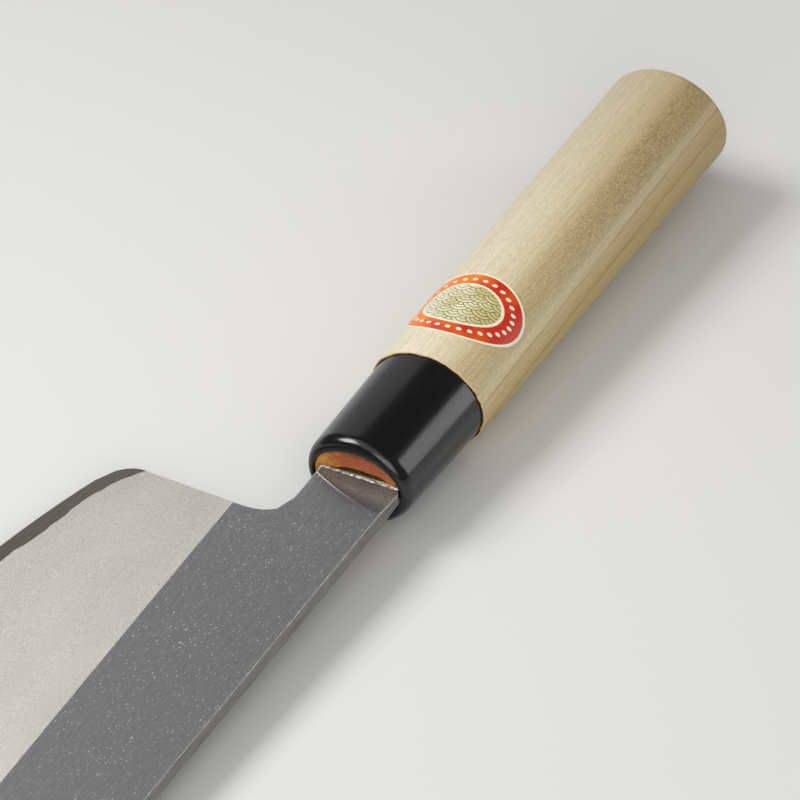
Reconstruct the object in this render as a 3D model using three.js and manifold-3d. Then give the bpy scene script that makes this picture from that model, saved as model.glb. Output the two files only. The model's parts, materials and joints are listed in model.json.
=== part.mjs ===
// Sushi-roll knife with an oval wooden handle, lying on its side as it rests on a table.
// Millimetres. In the knife's own frame +X runs to the tip, +Y to the spine and +Z out of the upper face;
// the handle axis is Y = Z = 0, and at X = 0 the neck of the blade steps down to go into the handle.
import * as THREE from 'three';
import Module from 'manifold-3d';
import { mergeVertices } from 'three/addons/utils/BufferGeometryUtils.js';

const wasm = await Module();
wasm.setup();

// Handle: widths are measured in the plane of the blade, thickness is across it
const handleLength = 138;
const ferruleLength = 30.6;
const thicknessPerWidth = 0.862;
const gripFrontWidth = 26.8;
const gripButtWidth = 28.4;
const gripFrontRounding = 0.4;
const gripButtRounding = 2;
const ferruleStep = 0.65;
const ferruleTaper = 0.65;
const rimSetback = 1.1;
const lipRounding = 2.8;
const lipDrop = 1.8;
const mouthWidth = 20.2;
const mouthThickness = 14.4;
const sealRecess = 1.3;
const sealDepth = 2.4;
const sealSlit = 0.9;

// Label on the upper side of the grip
const labelLength = 20.6;
const labelWidth = 24.4;
const labelFromMouth = 48.7;
const labelThickness = 0.15;
const labelTurn = THREE.MathUtils.degToRad(5);

// Blade: the spine is straight, the edge is one arc, and depths run from the spine down to the edge
const spineOffset = 10.5;
const spineTurn = THREE.MathUtils.degToRad(0.6);
const spineThickness = 3.7;
const tipThickness = 2.4;
const tipFromMouth = 252;
const noseRadius = 11;
const noseSweep = THREE.MathUtils.degToRad(115);
const edgeRadius = 240;
const bellyDepth = 71.4;
const bellyFromMouth = 93.6;
const ridgeDepth = 29.75;
const tipRidgeDepth = 25.8;
const tipBevelWidth = 12;
const ridgeBlend = 6;
const heelFromMouth = 17;
const heelLean = THREE.MathUtils.degToRad(6.1);
const heelRounding = 7;
const heelOvershoot = 0.3;
const neckWidth = 18.5;
const neckFillet = 7;
const heelFillet = 11;
const neckChamfer = 0.7;
const neckChamferAt = -0.3;
const neckEntry = 1.7;

// Hard steel core, which comes out of the soft iron as a band along the edge
const coreThickness = 1.1;
const coreDepth = 14;
const coreBand = 4.2;
const coreSpan = THREE.MathUtils.degToRad(90);

// Ramps on both faces of the neck, and the tang behind them
const rampAtSpine = 7.7;
const rampAtBelly = 1.2;
const rampDrop = 0.65;
const tangLength = 98;
const tangWidth = 13;
const tangEndWidth = 7;
const tangThickness = 2.2;
const tangEndThickness = 1.8;

// Where the edge touches the table, from the mouth: the knife balances on this point and the grip
const tableTouch = 210;

// Clearances between pieces
const tangGap = 0.3;
const fitGap = 0.15;
const skinGap = 0.06;

// Fineness of the facets
const turnSteps = 80;
const edgeSteps = 56;
const cornerSteps = 8;
const weldDistance = 1e-4;

// How far a cutting shape reaches past what it cuts
const beyond = 20;

const quarterTurn = Math.PI / 2;
const axisZ = new THREE.Vector3(0, 0, 1);
const { lerp } = THREE.MathUtils;

function solidOf(geometry) {
  const loose = geometry.index ? geometry.toNonIndexed() : geometry.clone();
  loose.deleteAttribute('normal');
  loose.deleteAttribute('uv');
  const joined = mergeVertices(loose, weldDistance);
  const corners = Array.from(joined.index.array);
  const triVerts = [];
  for (let i = 0; i < corners.length; i += 3) {
    const triangle = corners.slice(i, i + 3);
    if (new Set(triangle).size === triangle.length) triVerts.push(...triangle);
  }
  const mesh = new wasm.Mesh({
    numProp: 3,
    vertProperties: Float32Array.from(joined.attributes.position.array),
    triVerts: Uint32Array.from(triVerts),
  });
  return new wasm.Manifold(mesh);
}

function geometryOf(solid) {
  const { vertProperties, triVerts } = solid.getMesh();
  const geometry = new THREE.BufferGeometry();
  geometry.setAttribute('position', new THREE.BufferAttribute(Float32Array.from(vertProperties), 3));
  geometry.setIndex(new THREE.BufferAttribute(Uint32Array.from(triVerts), 1));
  geometry.computeVertexNormals();
  return geometry;
}

// Turns a profile of [x, radius] points, listed from butt to tip, about the handle axis
// and flattens it to the oval of the handle
function ovalSolid(profile) {
  const points = profile.map(([x, radius]) => new THREE.Vector2(radius, x));
  const geometry = new THREE.LatheGeometry(points, turnSteps);
  geometry.rotateZ(-quarterTurn);
  geometry.scale(1, 1, thicknessPerWidth);
  return solidOf(geometry);
}

// A straight oval column along the handle axis
function ovalColumn(back, front, width, thickness) {
  const geometry = new THREE.CylinderGeometry(1 / 2, 1 / 2, front - back, turnSteps);
  geometry.rotateZ(-quarterTurn);
  geometry.scale(1, width, thickness);
  geometry.translate((back + front) / 2, 0, 0);
  return solidOf(geometry);
}

// Points of a rounded corner of a profile; angles run from the tip direction to the outward one
function roundedCorner(x, radius, length, depth, fromAngle, toAngle) {
  const points = [];
  for (let i = 0; i <= cornerSteps; i += 1) {
    const angle = lerp(fromAngle, toAngle, i / cornerSteps);
    points.push([x + length * Math.cos(angle), radius + depth * Math.sin(angle)]);
  }
  return points;
}

function plateSolid(shape, thickness, curveSegments) {
  const geometry = new THREE.ExtrudeGeometry(shape, { depth: thickness, bevelEnabled: false, curveSegments });
  geometry.translate(0, 0, -thickness / 2);
  return solidOf(geometry);
}

// Joins rings of equal length, listed from butt to tip, into one closed body
function loftSolid(rings) {
  const count = rings[0].length;
  const last = (rings.length - 1) * count;
  const index = [];
  for (let row = 0; row < last; row += count) {
    for (let i = 0; i < count; i += 1) {
      const here = row + i;
      const next = row + (i + 1) % count;
      index.push(here, next, here + count);
      index.push(next, next + count, here + count);
    }
  }
  for (let i = 1; i + 1 < count; i += 1) {
    index.push(0, i + 1, i);
    index.push(last, last + i, last + i + 1);
  }
  const geometry = new THREE.BufferGeometry();
  geometry.setAttribute('position', new THREE.Float32BufferAttribute(rings.flat(2), 3));
  geometry.setIndex(index);
  return solidOf(geometry);
}

// The blade is drawn in the frame of its spine and then turned about the mouth of the ferrule
const spineFrame = new THREE.Matrix4().makeRotationZ(spineTurn);
const neckBelly = spineOffset - neckWidth;
const bandHalf = coreThickness / 2 + skinGap;
const edgeCentre = new THREE.Vector2(bellyFromMouth, spineOffset - bellyDepth + edgeRadius);

function edgeAt(x) {
  return edgeCentre.y - Math.sqrt(edgeRadius ** 2 - (x - edgeCentre.x) ** 2);
}

// The ridge between flat and bevel runs straight and, near the tip, bends to follow the edge
function ridgeAt(x) {
  const straight = spineOffset - lerp(ridgeDepth, tipRidgeDepth, x / tipFromMouth);
  const alongEdge = edgeAt(x) + tipBevelWidth;
  return (straight + alongEdge + Math.hypot(straight - alongEdge, ridgeBlend)) / 2;
}

// Flats and bevels down to the edge, longer than the blade and reaching above its spine
function bevelledStrip() {
  const start = -beyond;
  const end = tipFromMouth + noseRadius / 2;
  const rings = [];
  for (let i = 0; i <= edgeSteps; i += 1) {
    const x = lerp(start, end, i / edgeSteps);
    const half = lerp(spineThickness, tipThickness, x / tipFromMouth) / 2;
    const upper = [[spineOffset + beyond, half], [ridgeAt(x), half], [edgeAt(x) + coreBand, bandHalf]];
    const lower = upper.map(([y, z]) => [y, -z]).reverse();
    rings.push([...upper, [edgeAt(x), 0], ...lower].map(([y, z]) => [x, y, z]));
  }
  return loftSolid(rings);
}

// Spine, nose, heel and neck from above; past the edge the outline stays clear of the blade
function bladeOutline() {
  const noseStart = tipFromMouth - noseRadius;
  const outside = spineOffset - bellyDepth - beyond;
  const heelAt = (y) => heelFromMouth - Math.tan(heelLean) * (neckBelly - y);
  const chinX = heelAt(edgeAt(heelFromMouth));
  const chinY = edgeAt(chinX);
  const chinEnd = chinX + heelRounding;
  const shape = new THREE.Shape();
  shape.moveTo(-neckEntry, neckBelly);
  shape.lineTo(heelFromMouth - neckFillet, neckBelly);
  shape.quadraticCurveTo(heelFromMouth, neckBelly, heelAt(neckBelly - heelFillet), neckBelly - heelFillet);
  shape.lineTo(heelAt(chinY + heelRounding), chinY + heelRounding);
  shape.quadraticCurveTo(chinX, chinY, chinEnd, edgeAt(chinEnd) - heelOvershoot);
  shape.lineTo(chinEnd, outside);
  shape.lineTo(tipFromMouth, outside);
  shape.absarc(noseStart, spineOffset - noseRadius, noseRadius, quarterTurn - noseSweep, quarterTurn, false);
  shape.lineTo(neckChamferAt, spineOffset);
  shape.lineTo(neckChamferAt - neckChamfer, spineOffset - neckChamfer);
  shape.lineTo(-neckEntry, spineOffset - neckChamfer);
  return shape;
}

// A ring sector about the centre of the edge arc, from past the edge to the given depth inside it
function coreSlab(thickness, depth) {
  const from = -quarterTurn - coreSpan / 2;
  const to = -quarterTurn + coreSpan / 2;
  const shape = new THREE.Shape();
  shape.absarc(edgeCentre.x, edgeCentre.y, edgeRadius + beyond, from, to, false);
  shape.absarc(edgeCentre.x, edgeCentre.y, edgeRadius - depth, to, from, true);
  return plateSolid(shape, thickness, edgeSteps);
}

// Takes the upper face of the neck down to the ferrule, from a slanting line across it
function rampCutter() {
  const run = new THREE.Vector2(rampAtSpine - rampAtBelly, neckWidth);
  const slope = Math.atan2(rampDrop, rampAtSpine);
  const geometry = new THREE.BoxGeometry(beyond, run.length() + beyond, beyond);
  geometry.translate(-beyond / 2, 0, beyond / 2);
  geometry.rotateY(-slope);
  geometry.rotateZ(run.angle() - quarterTurn);
  geometry.translate((rampAtSpine + rampAtBelly) / 2, spineOffset - neckWidth / 2, spineThickness / 2);
  return solidOf(geometry);
}

// The tang, or with gaps around it the hole for it
function tangSolid(gap, gapAbove, front) {
  const rings = [-tangLength - gap, front].map((x) => {
    const halfWidth = lerp(tangWidth, tangEndWidth, -x / tangLength) / 2 + gap;
    const half = lerp(tangThickness, tangEndThickness, -x / tangLength) / 2;
    const ring = [[halfWidth, half + gapAbove], [-halfWidth, half + gapAbove]];
    return [...ring, [-halfWidth, -half - gap], [halfWidth, -half - gap]].map(([y, z]) => [x, y, z]);
  });
  return loftSolid(rings);
}

function turnedToSpine(solid) {
  return solidOf(geometryOf(solid).applyMatrix4(spineFrame));
}

// Blade
const blank = bevelledStrip().intersect(plateSolid(bladeOutline(), beyond, cornerSteps));
const ramp = rampCutter();
const ground = turnedToSpine(blank.subtract(ramp).subtract(ramp.mirror(axisZ.toArray())));
const coreSlot = turnedToSpine(coreSlab(coreThickness + 2 * skinGap, coreDepth + skinGap));
const core = turnedToSpine(coreSlab(coreThickness, coreDepth));
const tang = tangSolid(0, 0, rampAtBelly);
const tangHole = tangSolid(tangGap, tangGap, beyond);
const bladeBody = ground.subtract(coreSlot).add(tang);
const edgeSteel = ground.intersect(core);

// Handle
const plugWidth = mouthWidth - 2 * fitGap;
const plugThickness = mouthThickness - 2 * fitGap;
const gripFront = -ferruleLength;
const gripFrontRadius = gripFrontWidth / 2;
const gripButtRadius = gripButtWidth / 2;
const ferruleRadius = gripFrontRadius - ferruleStep;
const lipRadius = ferruleRadius - ferruleTaper;
const rim = -rimSetback;
const sealFront = rim - sealRecess;
const sealBack = sealFront - sealDepth;
const tenonFront = sealBack - fitGap;
const ferruleBack = gripFront + fitGap;

function gripRadiusAt(x) {
  return lerp(gripFrontRadius, gripButtRadius, (gripFront - x) / (handleLength - ferruleLength));
}

const buttCorner = [gripButtRounding - handleLength, gripButtRadius - gripButtRounding];
const frontCorner = [gripFront - gripFrontRounding, gripFrontRadius - gripFrontRounding];
const barrel = ovalSolid([
  [-handleLength, 0],
  ...roundedCorner(...buttCorner, gripButtRounding, gripButtRounding, 2 * quarterTurn, quarterTurn),
  ...roundedCorner(...frontCorner, gripFrontRounding, gripFrontRounding, quarterTurn, 0),
  [gripFront, 0],
]);
const tenon = ovalColumn(-handleLength / 2, tenonFront, plugWidth, plugThickness);
const grip = barrel.add(tenon).subtract(tangHole);

const collar = ovalSolid([
  [ferruleBack, 0],
  [ferruleBack, ferruleRadius],
  ...roundedCorner(rim - lipRounding, lipRadius - lipDrop, lipRounding, lipDrop, quarterTurn, 0),
  [rim, 0],
]);
const ferrule = collar.subtract(ovalColumn(-handleLength, beyond, mouthWidth, mouthThickness));

const seal = ovalColumn(sealBack, sealFront, plugWidth, plugThickness)
  .subtract(tangSolid(tangGap, sealSlit, beyond));

// Label: the part of a thin sleeve over the grip that lies in an upright oval column
function sleeveRow(x, height) {
  return [x, gripRadiusAt(x) + height];
}

const labelBack = -labelFromMouth - labelLength;
const labelFront = -labelFromMouth + labelLength;
const sleeve = ovalSolid([
  sleeveRow(labelBack, skinGap),
  sleeveRow(labelBack, skinGap + labelThickness),
  sleeveRow(labelFront, skinGap + labelThickness),
  sleeveRow(labelFront, skinGap),
  sleeveRow(labelBack, skinGap),
]);
const column = new THREE.CylinderGeometry(1 / 2, 1 / 2, gripButtWidth, turnSteps);
column.rotateX(quarterTurn);
column.scale(labelLength, labelWidth, 1);
column.translate(-labelFromMouth, 0, gripButtRadius);
column.rotateX(labelTurn);
const label = sleeve.intersect(solidOf(column));

const materials = {
  softIron: { color: 0x8d8b88, roughness: 0.42, metalness: 1 },
  hardSteel: { color: 0x77767a, roughness: 0.3, metalness: 1 },
  magnoliaWood: { color: 0xdcc9a2, roughness: 0.62, metalness: 0 },
  blackHorn: { color: 0x141416, roughness: 0.16, metalness: 0 },
  amberResin: { color: 0xb5642f, roughness: 0.45, metalness: 0 },
  labelPaper: { color: 0xc63a1d, roughness: 0.5, metalness: 0 },
};

const knife = new THREE.Group();
knife.name = 'knife';

function addPiece(name, solid, materialName) {
  const material = new THREE.MeshStandardMaterial(materials[materialName]);
  material.name = materialName;
  const piece = new THREE.Mesh(geometryOf(solid), material);
  piece.name = name;
  knife.add(piece);
}

addPiece('blade_body', bladeBody, 'softIron');
addPiece('edge_steel', edgeSteel, 'hardSteel');
addPiece('handle_grip', grip, 'magnoliaWood');
addPiece('ferrule', ferrule, 'blackHorn');
addPiece('mouth_seal', seal, 'amberResin');
addPiece('handle_label', label, 'labelPaper');

// The table plane meets the lower bevel at the top of the steel band, by the touch, and the front edge of
// the oval grip; its slope solves the quadratic equation that both contacts give
function tableNormal() {
  const bandRadius = edgeRadius - coreBand;
  const toTouch = new THREE.Vector3(tableTouch - edgeCentre.x, edgeAt(tableTouch) - edgeCentre.y, 0);
  const inward = toTouch.normalize().negate().applyMatrix4(spineFrame);
  const centre = new THREE.Vector3(edgeCentre.x, edgeCentre.y, 0).applyMatrix4(spineFrame);
  const touch = centre.addScaledVector(inward, -bandRadius);
  const reach = new THREE.Vector3(gripFront - gripFrontRounding, 0, 0).sub(touch).dot(inward);
  const a = reach ** 2 - (inward.y * gripFrontRadius) ** 2;
  const b = reach * bandHalf;
  const c = bandHalf ** 2 - (thicknessPerWidth * gripFrontRadius) ** 2;
  const slope = Math.atan((Math.sqrt(b ** 2 - a * c) - b) / a);
  return inward.multiplyScalar(Math.sin(slope)).addScaledVector(axisZ, Math.cos(slope));
}

knife.quaternion.setFromUnitVectors(tableNormal(), axisZ);

// The part's origin is on the table, under the middle of the knife
const box = new THREE.Box3().setFromObject(knife, true);
const middle = box.getCenter(new THREE.Vector3());
knife.position.set(-middle.x, -middle.y, -box.min.z);

const part = new THREE.Group();
part.name = 'sushi_knife';
part.add(knife);

export default part;
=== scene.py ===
# Sushi-roll knife: the looks of every piece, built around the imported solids
import json
import math
import random

import bpy
from mathutils import Matrix, Vector


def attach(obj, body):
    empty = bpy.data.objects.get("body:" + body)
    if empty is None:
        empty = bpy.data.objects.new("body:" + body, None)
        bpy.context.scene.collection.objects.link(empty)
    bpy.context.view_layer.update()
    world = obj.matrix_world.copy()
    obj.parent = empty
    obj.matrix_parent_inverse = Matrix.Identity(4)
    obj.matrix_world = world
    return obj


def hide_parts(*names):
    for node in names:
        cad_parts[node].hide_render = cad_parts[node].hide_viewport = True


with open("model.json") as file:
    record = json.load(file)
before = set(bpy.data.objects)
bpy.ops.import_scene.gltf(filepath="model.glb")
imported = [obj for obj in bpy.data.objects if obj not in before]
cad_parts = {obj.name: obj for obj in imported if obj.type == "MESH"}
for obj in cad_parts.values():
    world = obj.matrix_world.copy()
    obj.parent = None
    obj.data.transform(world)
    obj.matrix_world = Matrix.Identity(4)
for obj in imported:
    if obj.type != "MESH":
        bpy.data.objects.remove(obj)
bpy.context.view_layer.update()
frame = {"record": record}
mm = 0.001
mergeGap = 0.001 * mm  # points nearer than this are one

# Lengths in the dictionaries are millimetres, in the knife's own frame:
# x runs to the tip from where the neck steps down, y to the spine, z out of the upper face
handle = {
    "length": 138,
    "collarLength": 30.6,
    "flatness": 0.862,  # thickness per width of the oval
    "rim": -1.1,
    "mouthWidth": 20.2,
    "mouthThickness": 14.4,
    "fitGap": 0.15,
    "turnSteps": 160,
}


def lerp(a, b, t):
    return a + (b - a) * t


def clamp(value, low, high):
    return max(low, min(high, value))


def knifePlace():
    mounts = {m["name"]: m for m in frame["record"]["mounts"]}
    axes = {name: Vector(m["axis"]) for name, m in mounts.items()}
    along = -axes["butt_face"].normalized()
    outward = axes["blade_flat_upper"] - axes["blade_flat_lower"]
    across = outward.cross(along).normalized()
    turn = Matrix((along, across, along.cross(across))).transposed()
    mouth = Vector(mounts["butt_face"]["pos_m"]) + along * handle["length"] * mm
    return Matrix.Translation(mouth) @ turn.to_4x4()


# Modelling helpers

def newPiece(name, primitive, **size):
    bpy.ops.object.select_all(action="DESELECT")
    primitive(**size)
    piece = bpy.context.object
    piece.name = name
    piece.data.name = name
    return piece


def pick(piece, kind, test):  # selects what the test names, and leaves the piece in edit mode
    bpy.ops.object.mode_set(mode="OBJECT")
    mesh = piece.data
    groups = {"VERT": mesh.vertices, "EDGE": mesh.edges, "FACE": mesh.polygons}
    for group in groups.values():
        group.foreach_set("select", [False] * len(group))
    groups[kind].foreach_set("select", [bool(test(item)) for item in groups[kind]])
    bpy.context.tool_settings.mesh_select_mode = [kind == name for name in groups]
    bpy.ops.object.mode_set(mode="EDIT")


def closeMesh(piece):  # merges doubles and turns the faces outwards
    bpy.ops.object.mode_set(mode="EDIT")
    bpy.ops.mesh.select_all(action="SELECT")
    bpy.ops.mesh.remove_doubles(threshold=mergeGap)
    bpy.ops.mesh.normals_make_consistent(inside=False)
    bpy.ops.object.mode_set(mode="OBJECT")


def applyModifier(piece, kind, **settings):
    modifier = piece.modifiers.new(kind.title(), kind)
    for name, value in settings.items():
        setattr(modifier, name, value)
    bpy.context.view_layer.objects.active = piece
    bpy.ops.object.modifier_apply(modifier=modifier.name)


def roundCorner(x, radius, length, depth, fromDegrees, toDegrees, steps):
    corner = []
    for i in range(steps + 1):
        angle = math.radians(lerp(fromDegrees, toDegrees, i / steps))
        corner.append((x + length * math.cos(angle), radius + depth * math.sin(angle)))
    return corner


def handleOval(profile):  # (x, radius) points as rings of the handle's oval
    return [(x, radius, radius * handle["flatness"]) for x, radius in profile]


def drawOval(name, rings):
    # a ring is drawn out along the handle axis through (x, half width, half thickness)
    piece = newPiece(name, bpy.ops.mesh.primitive_circle_add, vertices=handle["turnSteps"], radius=mm,
                     rotation=(0, math.pi / 2, 0))
    bpy.ops.object.transform_apply(rotation=True)
    bpy.ops.object.mode_set(mode="EDIT")
    bpy.ops.mesh.select_all(action="SELECT")
    lastX, lastWidth, lastThickness = 0, 1, 1
    for i, (x, width, thickness) in enumerate(rings):
        step = {"value": ((x - lastX) * mm, 0, 0)}
        if i:
            bpy.ops.mesh.extrude_region_move(TRANSFORM_OT_translate=step)
        else:
            bpy.ops.transform.translate(**step)
        growth = (1, width / lastWidth, thickness / lastThickness)
        bpy.ops.transform.resize(value=growth, center_override=(0, 0, 0))
        lastX, lastWidth, lastThickness = x, width, thickness
    bpy.ops.mesh.select_all(action="SELECT")
    bpy.ops.mesh.remove_doubles(threshold=mergeGap)
    bpy.ops.mesh.select_all(action="SELECT")
    bpy.ops.mesh.fill_holes(sides=0)
    closeMesh(piece)
    return piece


def finishPiece(piece, node, materials, place, smoothAngle):
    bpy.ops.object.select_all(action="DESELECT")
    piece.select_set(True)
    bpy.context.view_layer.objects.active = piece
    piece.matrix_world = place
    bpy.ops.object.transform_apply(location=True, rotation=True, scale=True)
    bpy.ops.object.shade_smooth_by_angle(angle=math.radians(smoothAngle))
    for material in materials:
        piece.data.materials.append(material)
    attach(piece, "root")
    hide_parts(node)
    print(f"{piece.name}: {len(piece.data.polygons)} faces")


# Material helpers

def hexColour(code):  # sRGB hex to linear
    shares = [int(code[i:i + 2], 16) / 255 for i in (1, 3, 5)]
    linear = [s / 12.92 if s <= 0.04045 else ((s + 0.055) / 1.055) ** 2.4 for s in shares]
    return (*linear, 1.0)


def addNode(tree, kind, inputs=(), stops=(), **settings):
    # inputs are values, nodes or sockets, by name or in the order that the node shows them
    node = tree.nodes.new("ShaderNode" + kind)
    for name, value in settings.items():
        setattr(node, name, value)
    if isinstance(inputs, dict):
        pairs = [(node.inputs[name], value) for name, value in inputs.items()]
    else:
        pairs = zip([socket for socket in node.inputs if socket.enabled], inputs)
    for socket, value in pairs:
        if isinstance(value, bpy.types.Node):
            value = next(output for output in value.outputs if output.enabled)
        if isinstance(value, bpy.types.NodeSocket):
            tree.links.new(value, socket)
        else:
            socket.default_value = value
    for i, (position, code) in enumerate(stops):
        elements = node.color_ramp.elements
        element = elements[i] if i < len(elements) else elements.new(position)
        element.position = position
        element.color = hexColour(code)
    return node


def newMaterial(name):
    material = bpy.data.materials.new(name)
    material.use_nodes = True
    material.node_tree.nodes.clear()
    return material, material.node_tree


def frameMaterial(name, place):  # with coordinates in millimetres of the handle's or the blade's frame
    material, tree = newMaterial(name)
    coords = addNode(tree, "TexCoord")
    point = addNode(tree, "Mapping", {
        "Vector": coords.outputs["Object"],
        "Location": place.translation,
        "Rotation": place.to_euler(),
        "Scale": (mm, mm, mm),
    }, vector_type="TEXTURE")
    return material, tree, point


# Steel of the blade: pattern sizes are those of one mark along x, y and z,
# tones go from its dark to its light parts, and a range gives its low and high values and what they become

bladeSteel = {
    "polishLine": (4, 0.15, 0.15),  # both drawn coarser than real polishing marks, so that they show
    "shortLine": (0.9, 0.2, 0.2),
    "shortShare": 0.4,  # strength beside the long lines
    "flatTones": ((0.3, "#888889"), (0.7, "#b6b6b6")),
    "flatRough": (0.35, 0.65, 0.42, 0.33),
    "glint": "#e4e3e0",
    "glintSize": (0.5, 0.3),  # painted glints, bright pinpoints in place of sparkle; along x and y, drawn coarser than real pinpoints, so that they show
    "glintLayer": (0, 0, 0.5),  # one depth of the noise all over, so that the glints lie evenly
    "glintRange": (0.675, 0.77, 0, 0.85),
    "rampGrain": (0.24, 0.24, 0.24),  # drawn coarser than real scale, so that it shows
    "rampTones": ((0.36, "#747270"), (0.66, "#c4c1be")),
    "rampRough": 0.2,  # more than the flat
    "rampCloud": (3, 3, 3),
    "rampDeep": "#675e58",
    "rampDeepRange": (2.6, -1.5, 0, 1.2),  # along x: the scale is browner towards the mouth
    # the burr is bare steel, whitened further as a painted highlight for its glints
    "burr": "#f4f1ea",
    "burrRange": (0.4, 0.54, 0.3, 1),
    "paintedHighlightMetal": (0, 1, 1, 0.15),  # the burr, crest and glints are painted highlights: pale, less metal, scattering light all ways
    "blastGrain": (0.25, 0.22, 0.22),  # drawn coarser than real blast marks, so that it shows
    "cloud": (26, 14, 14),
    "cloudShare": 0.12,
    "bevelTones": ((0.38, "#b7b4ae"), (0.78, "#f3f0ea")),
    "bevelRough": (0.3, 0.7, 0.62, 0.52),
    "fileMark": (9, 0.25, 0.25),
    "stoneShare": 0.5,
    "bandTones": ((0.5, "#6a655f"), (1.0, "#958f86")),
    "bandRough": (0.3, 0.7, 0.42, 0.32),
    "wallTones": ((0.3, "#6c6a67"), (0.7, "#a3a19d")),
    "wallRough": (0.3, 0.7, 0.46, 0.34),
    "arris": "#e6e4e0",
    "arrisTones": ((0.45, "#a3a19d"), (0.75, "#e6e4e0")),
    "arrisRough": (0.3, 0.7, 0.5, 0.36),
    "scaleFlake": (1.6, 1.2, 1.2),
    "scaleAndShadeTones": ((0.35, "#4a3a16"), (0.65, "#6e5a24")),
    "scaleRough": (0.3, 0.7, 0.82, 0.68),
    "lineDepth": 0.02,
    "grainDepth": 0.03,
}


def polishedFlat(place):
    # Soft iron polished along its length: dark satin with fine short lines,
    # scaled brown on the ramp at the neck
    material, tree, point = frameMaterial("soft_iron_polished_lengthwise", place)
    polish = addNode(tree, "VectorMath", (point, bladeSteel["polishLine"]), operation="DIVIDE")
    lines = addNode(tree, "TexNoise", {"Vector": polish, "Scale": 1, "Detail": 3, "Roughness": 0.6})
    short = addNode(tree, "VectorMath", (point, bladeSteel["shortLine"]), operation="DIVIDE")
    streaks = addNode(tree, "TexNoise", {"Vector": short, "Scale": 1, "Detail": 2})
    both = addNode(tree, "Math", (streaks, bladeSteel["shortShare"], lines), operation="MULTIPLY_ADD")
    marks = addNode(tree, "Math", (both, 1 + bladeSteel["shortShare"]), operation="DIVIDE")
    iron = addNode(tree, "ValToRGB", (marks,), stops=bladeSteel["flatTones"])
    # bright pinpoints on the flat are painted glints
    length, width = bladeSteel["glintSize"]
    dots = addNode(tree, "VectorMath", (point, (1 / length, 1 / width, 0), bladeSteel["glintLayer"]),
                   operation="MULTIPLY_ADD")
    specks = addNode(tree, "TexNoise", {"Vector": dots, "Scale": 1, "Detail": 1})
    bright = addNode(tree, "MapRange", (specks, *bladeSteel["glintRange"]))
    flat = addNode(tree, "Mix", (bright, iron, hexColour(bladeSteel["glint"])), data_type="RGBA")

    # scale on the ramp, with a painted highlight along its crest and the burr at its end, whitened as a
    # painted highlight
    onRamp = addNode(tree, "Attribute", attribute_name="scaled").outputs["Fac"]
    grit = addNode(tree, "VectorMath", (point, bladeSteel["rampGrain"]), operation="DIVIDE")
    grain = addNode(tree, "TexNoise", {"Vector": grit, "Scale": 1, "Detail": 2, "Roughness": 0.7})
    grey = addNode(tree, "ValToRGB", (grain,), stops=bladeSteel["rampTones"])
    broad = addNode(tree, "VectorMath", (point, bladeSteel["rampCloud"]), operation="DIVIDE")
    cloud = addNode(tree, "TexNoise", {"Vector": broad, "Scale": 1, "Detail": 2})
    x = addNode(tree, "SeparateXYZ", (point,)).outputs["X"]
    nearMouth = addNode(tree, "MapRange", (x, *bladeSteel["rampDeepRange"]))
    brown = addNode(tree, "Math", (nearMouth, cloud), operation="MULTIPLY")
    scale = addNode(tree, "Mix", (brown, grey, hexColour(bladeSteel["rampDeep"])), data_type="RGBA")
    scaled = addNode(tree, "Mix", (onRamp, flat, scale), data_type="RGBA")
    crest = addNode(tree, "Attribute", attribute_name="crest").outputs["Fac"]
    crested = addNode(tree, "Mix", (crest, scaled, hexColour(bladeSteel["arris"])), data_type="RGBA")
    burr = addNode(tree, "Attribute", attribute_name="burr").outputs["Fac"]
    ragged = addNode(tree, "MapRange", (grain, *bladeSteel["burrRange"]))
    tornAndGleaming = addNode(tree, "Math", (ragged, burr), operation="MULTIPLY")
    colour = addNode(tree, "Mix", (tornAndGleaming, crested, hexColour(bladeSteel["burr"])), data_type="RGBA")

    onFlat = addNode(tree, "Math", (1, onRamp), operation="SUBTRACT")
    paintedGlints = addNode(tree, "Math", (bright, onFlat), operation="MULTIPLY")
    paintedEdgeLight = addNode(tree, "Math", (tornAndGleaming, crest), operation="MAXIMUM")
    paintedHighlight = addNode(tree, "Math", (paintedEdgeLight, paintedGlints), operation="MAXIMUM")
    metal = addNode(tree, "MapRange", (paintedHighlight, *bladeSteel["paintedHighlightMetal"]))
    satin = addNode(tree, "MapRange", (marks, *bladeSteel["flatRough"]))
    rough = addNode(tree, "Math", (onRamp, bladeSteel["rampRough"], satin), operation="MULTIPLY_ADD")
    relief = addNode(tree, "Math", (onRamp, grain, marks), operation="MULTIPLY_ADD")
    depth = bladeSteel["lineDepth"] * mm
    bump = addNode(tree, "Bump", {"Height": relief, "Strength": 0.15, "Distance": depth})
    shader = addNode(tree, "BsdfPrincipled", {"Base Color": colour, "Metallic": metal, "Roughness": rough,
                                              "Normal": bump})
    addNode(tree, "OutputMaterial", {"Surface": shader})
    return material


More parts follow.
